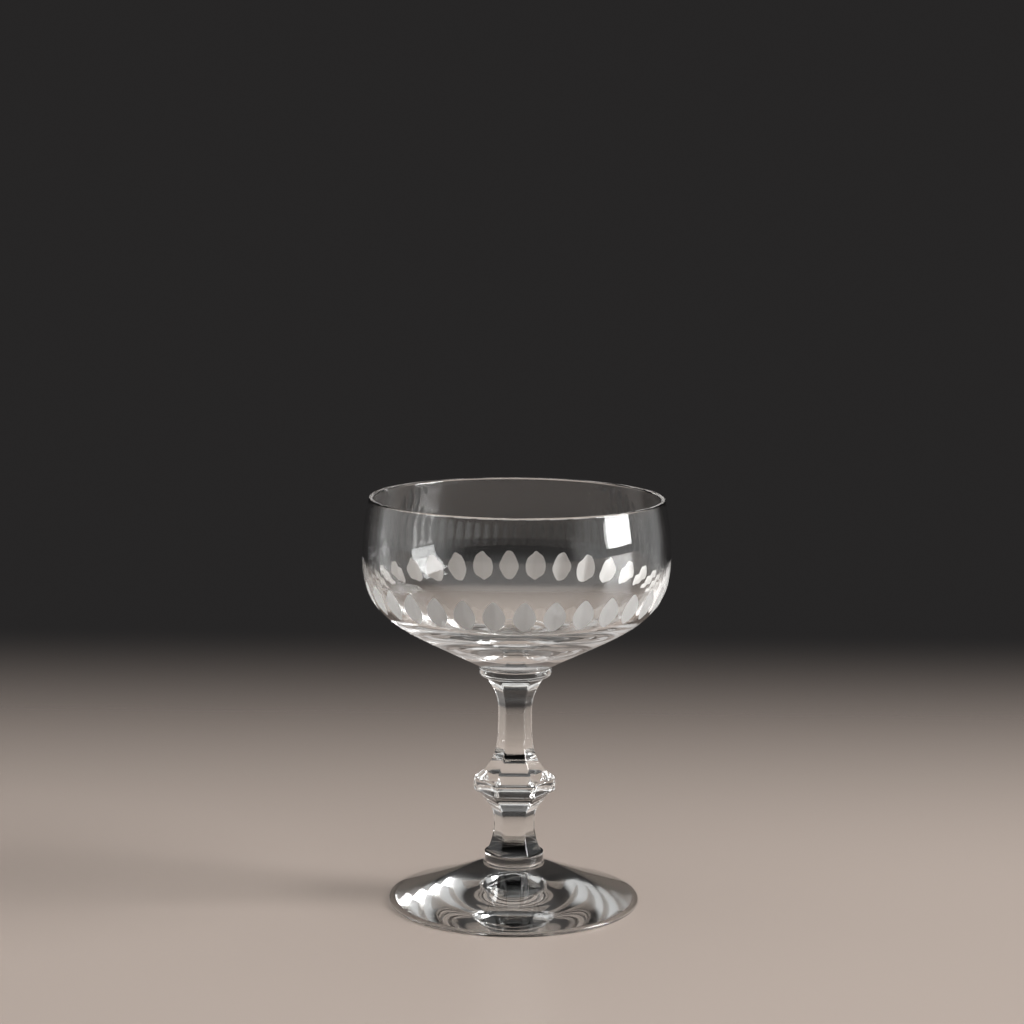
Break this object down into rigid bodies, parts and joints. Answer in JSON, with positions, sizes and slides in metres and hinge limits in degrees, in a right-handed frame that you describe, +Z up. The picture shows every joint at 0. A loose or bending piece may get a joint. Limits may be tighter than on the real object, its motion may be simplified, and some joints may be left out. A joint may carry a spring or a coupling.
{
  "type": "sherbet_glass",
  "caption": "Low stemmed sherbet glass in clear glass: wide bowl with a ground leaf band, round merese, hexagonal knopped stem and conical foot.",
  "frame": {"origin": "centre of the bearing ring under the foot, at table height", "axes": "+Z up the axis of the glass, -Y to the front, where a flat of the hexagonal stem faces, +X to the right as seen from the front"},
  "size_m": [0.086, 0.086, 0.1155],
  "materials": {
    "bowl_glass": "gloss",
    "merese_glass": "gloss",
    "stem_glass": "gloss",
    "foot_glass": "gloss"
  },
  "bodies": {
    "root": {"bowl": "bowl_glass", "merese": "merese_glass", "stem": "stem_glass", "foot": "foot_glass"}
  },
  "joints": []
}
